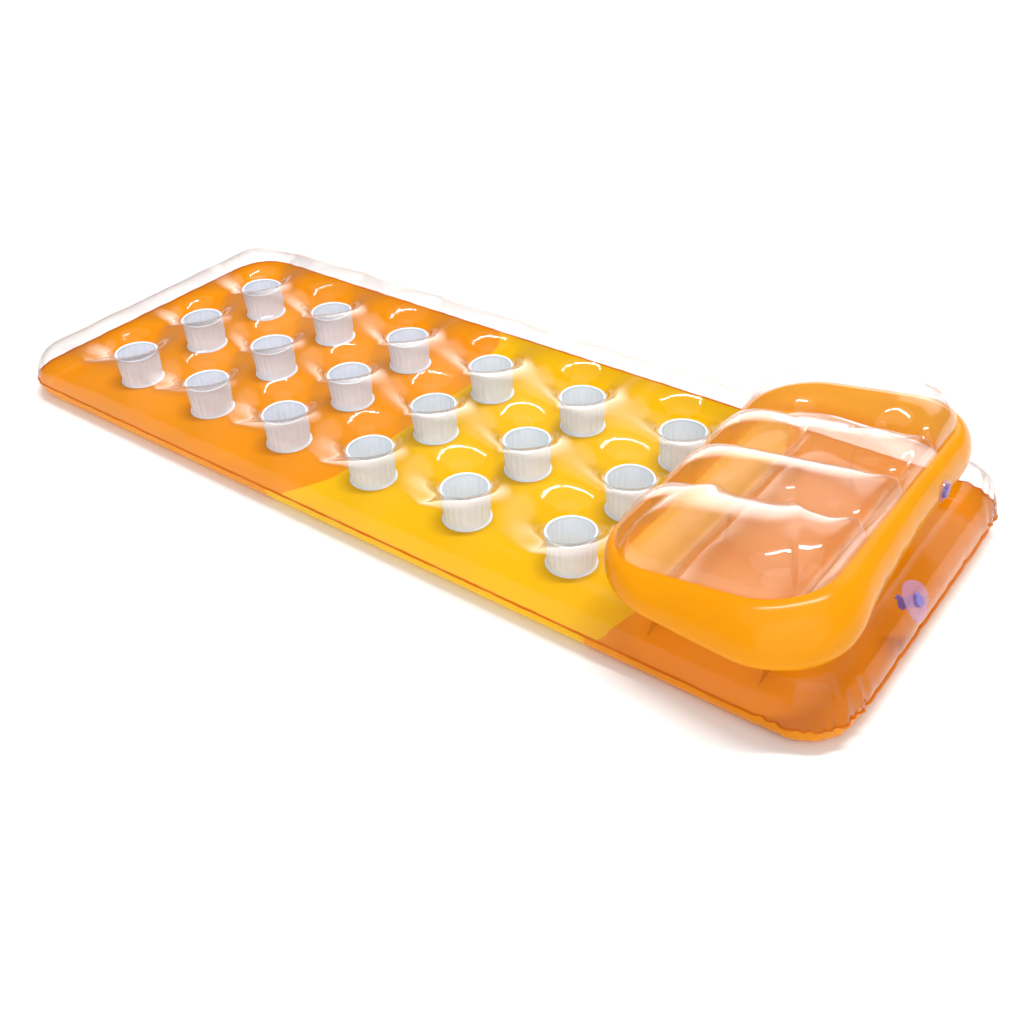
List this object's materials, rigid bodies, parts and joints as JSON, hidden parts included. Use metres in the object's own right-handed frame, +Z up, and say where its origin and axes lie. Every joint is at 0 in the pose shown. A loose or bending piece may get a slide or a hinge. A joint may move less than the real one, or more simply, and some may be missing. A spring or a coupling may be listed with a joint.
{
  "type": "inflatable pool float",
  "caption": "Inflated air mattress with open water pockets through its deck, a wedge air pillow on the head end and an inflation valve in each air chamber.",
  "frame": {"origin": "on the floor, at the centre of the float's outline", "axes": "+X from the foot end to the head end, +Z up"},
  "size_m": [1.808, 0.69, 0.2376],
  "materials": {
    "clear_film": "clear glossy film",
    "orange_film": "tinted see-through glossy film",
    "yellow_film": "tinted see-through glossy film",
    "white_film": "milky white film",
    "valve_vinyl": "violet-tinted clear soft vinyl"
  },
  "bodies": {
    "float": {"mattress_top_sheet": "clear_film", "bottom_panel_foot": "orange_film", "bottom_panel_middle": "yellow_film", "bottom_panel_head": "orange_film", "web_front": "clear_film", "web_back": "clear_film", "pillow_base_sheet": "clear_film", "pillow_wall": "orange_film", "pillow_top_sheet": "clear_film", "pillow_rib_near": "clear_film", "pillow_rib_centre": "clear_film", "pillow_rib_far": "clear_film", "mattress_valve_disc": "valve_vinyl", "pillow_valve_disc": "valve_vinyl", "pocket_1_1": "white_film", "pocket_1_2": "white_film", "pocket_1_3": "white_film", "pocket_1_4": "white_film", "pocket_1_5": "white_film", "pocket_1_6": "white_film", "pocket_2_1": "white_film", "pocket_2_2": "white_film", "pocket_2_3": "white_film", "pocket_2_4": "white_film", "pocket_2_5": "white_film", "pocket_2_6": "white_film", "pocket_3_1": "white_film", "pocket_3_2": "white_film", "pocket_3_3": "white_film", "pocket_3_4": "white_film", "pocket_3_5": "white_film", "pocket_3_6": "white_film"},
    "mattress_valve_stem": {"mattress_valve_stem": "valve_vinyl"},
    "mattress_valve_plug": {"mattress_valve_plug": "valve_vinyl"},
    "mattress_valve_flap": {"mattress_valve_flap": "valve_vinyl"},
    "pillow_valve_stem": {"pillow_valve_stem": "valve_vinyl"},
    "pillow_valve_plug": {"pillow_valve_plug": "valve_vinyl"},
    "pillow_valve_flap": {"pillow_valve_flap": "valve_vinyl"}
  },
  "joints": [
    {"name": "mattress_valve_stem_slide", "type": "slide", "parent": "float", "child": "mattress_valve_stem", "axis": [0.809, 0, 0.5878], "range_m": [0, 0.018]},
    {"name": "mattress_valve_plug_hinge", "type": "hinge", "parent": "mattress_valve_stem", "child": "mattress_valve_plug", "pos_m": [0.88277, -0.048, 0.0896], "axis": [0, -1, 0], "range_deg": [0, 150]},
    {"name": "mattress_valve_flap_hinge", "type": "hinge", "parent": "mattress_valve_stem", "child": "mattress_valve_flap", "pos_m": [0.85656, -0.048, 0.07056], "axis": [0, 1, 0], "range_deg": [0, 40], "stiffness_Nm_per_rad": 0.002},
    {"name": "pillow_valve_stem_slide", "type": "slide", "parent": "float", "child": "pillow_valve_stem", "axis": [1, 0, 0], "range_m": [0, 0.018]},
    {"name": "pillow_valve_plug_hinge", "type": "hinge", "parent": "pillow_valve_stem", "child": "pillow_valve_plug", "pos_m": [0.8538, 0.116, 0.1702], "axis": [0, -1, 0], "range_deg": [0, 150]},
    {"name": "pillow_valve_flap_hinge", "type": "hinge", "parent": "pillow_valve_stem", "child": "pillow_valve_flap", "pos_m": [0.8214, 0.116, 0.1702], "axis": [0, 1, 0], "range_deg": [0, 40], "stiffness_Nm_per_rad": 0.002}
  ]
}
